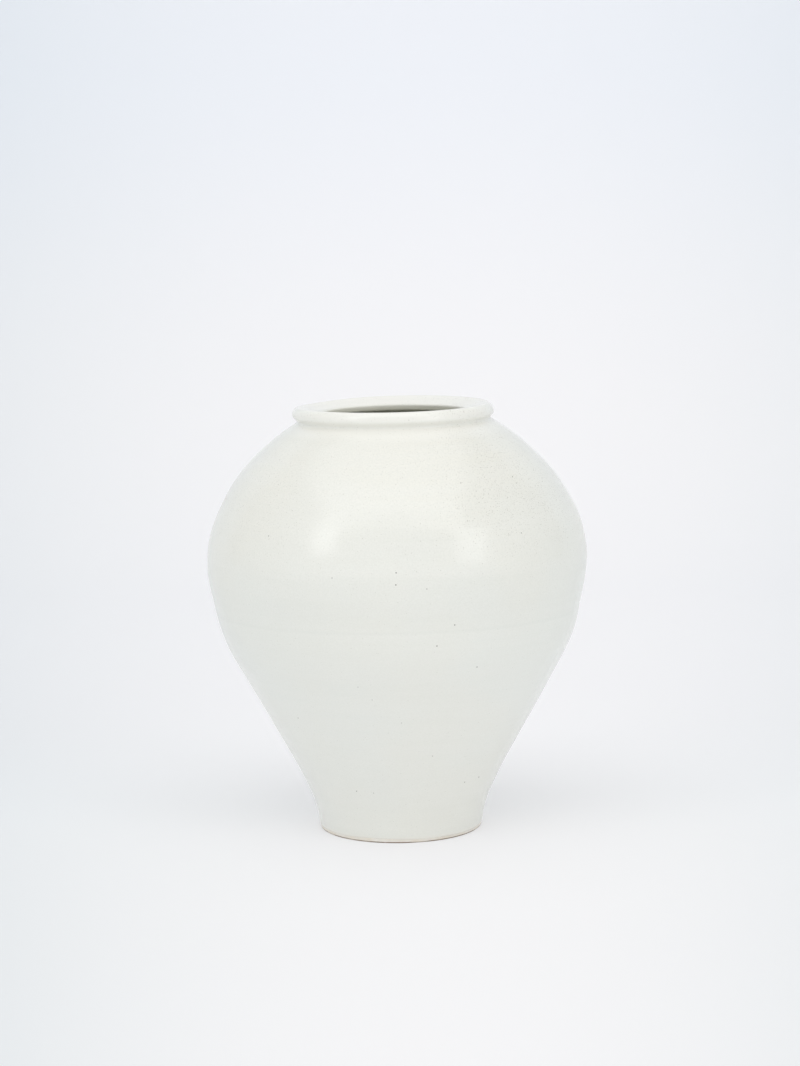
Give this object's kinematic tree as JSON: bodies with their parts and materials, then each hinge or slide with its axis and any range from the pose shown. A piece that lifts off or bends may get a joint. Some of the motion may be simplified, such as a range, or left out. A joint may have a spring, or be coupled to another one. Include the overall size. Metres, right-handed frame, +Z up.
{
  "type": "jar",
  "caption": "White glazed stoneware jar with a wide high shoulder, tapering body, rolled rim and narrow foot ring; hollow, open at the mouth and free-standing",
  "frame": {"origin": "centre of the foot ring's resting face, on the jar's axis, at the surface that it stands on", "axes": "+Z up along the axis that the jar is thrown about; +X to the right and +Y away from the viewer in the picture"},
  "size_m": [0.356, 0.3558, 0.401],
  "materials": {
    "bare_clay": "unglazed, fired, slightly gritty",
    "white_glaze": "satin"
  },
  "bodies": {
    "root": {"foot_ring": "bare_clay", "lower_bowl": "bare_clay", "luting_ring": "bare_clay", "upper_bowl": "bare_clay", "rolled_rim": "bare_clay", "outer_glaze": "white_glaze", "inner_glaze": "white_glaze", "base_glaze": "white_glaze"}
  },
  "joints": []
}
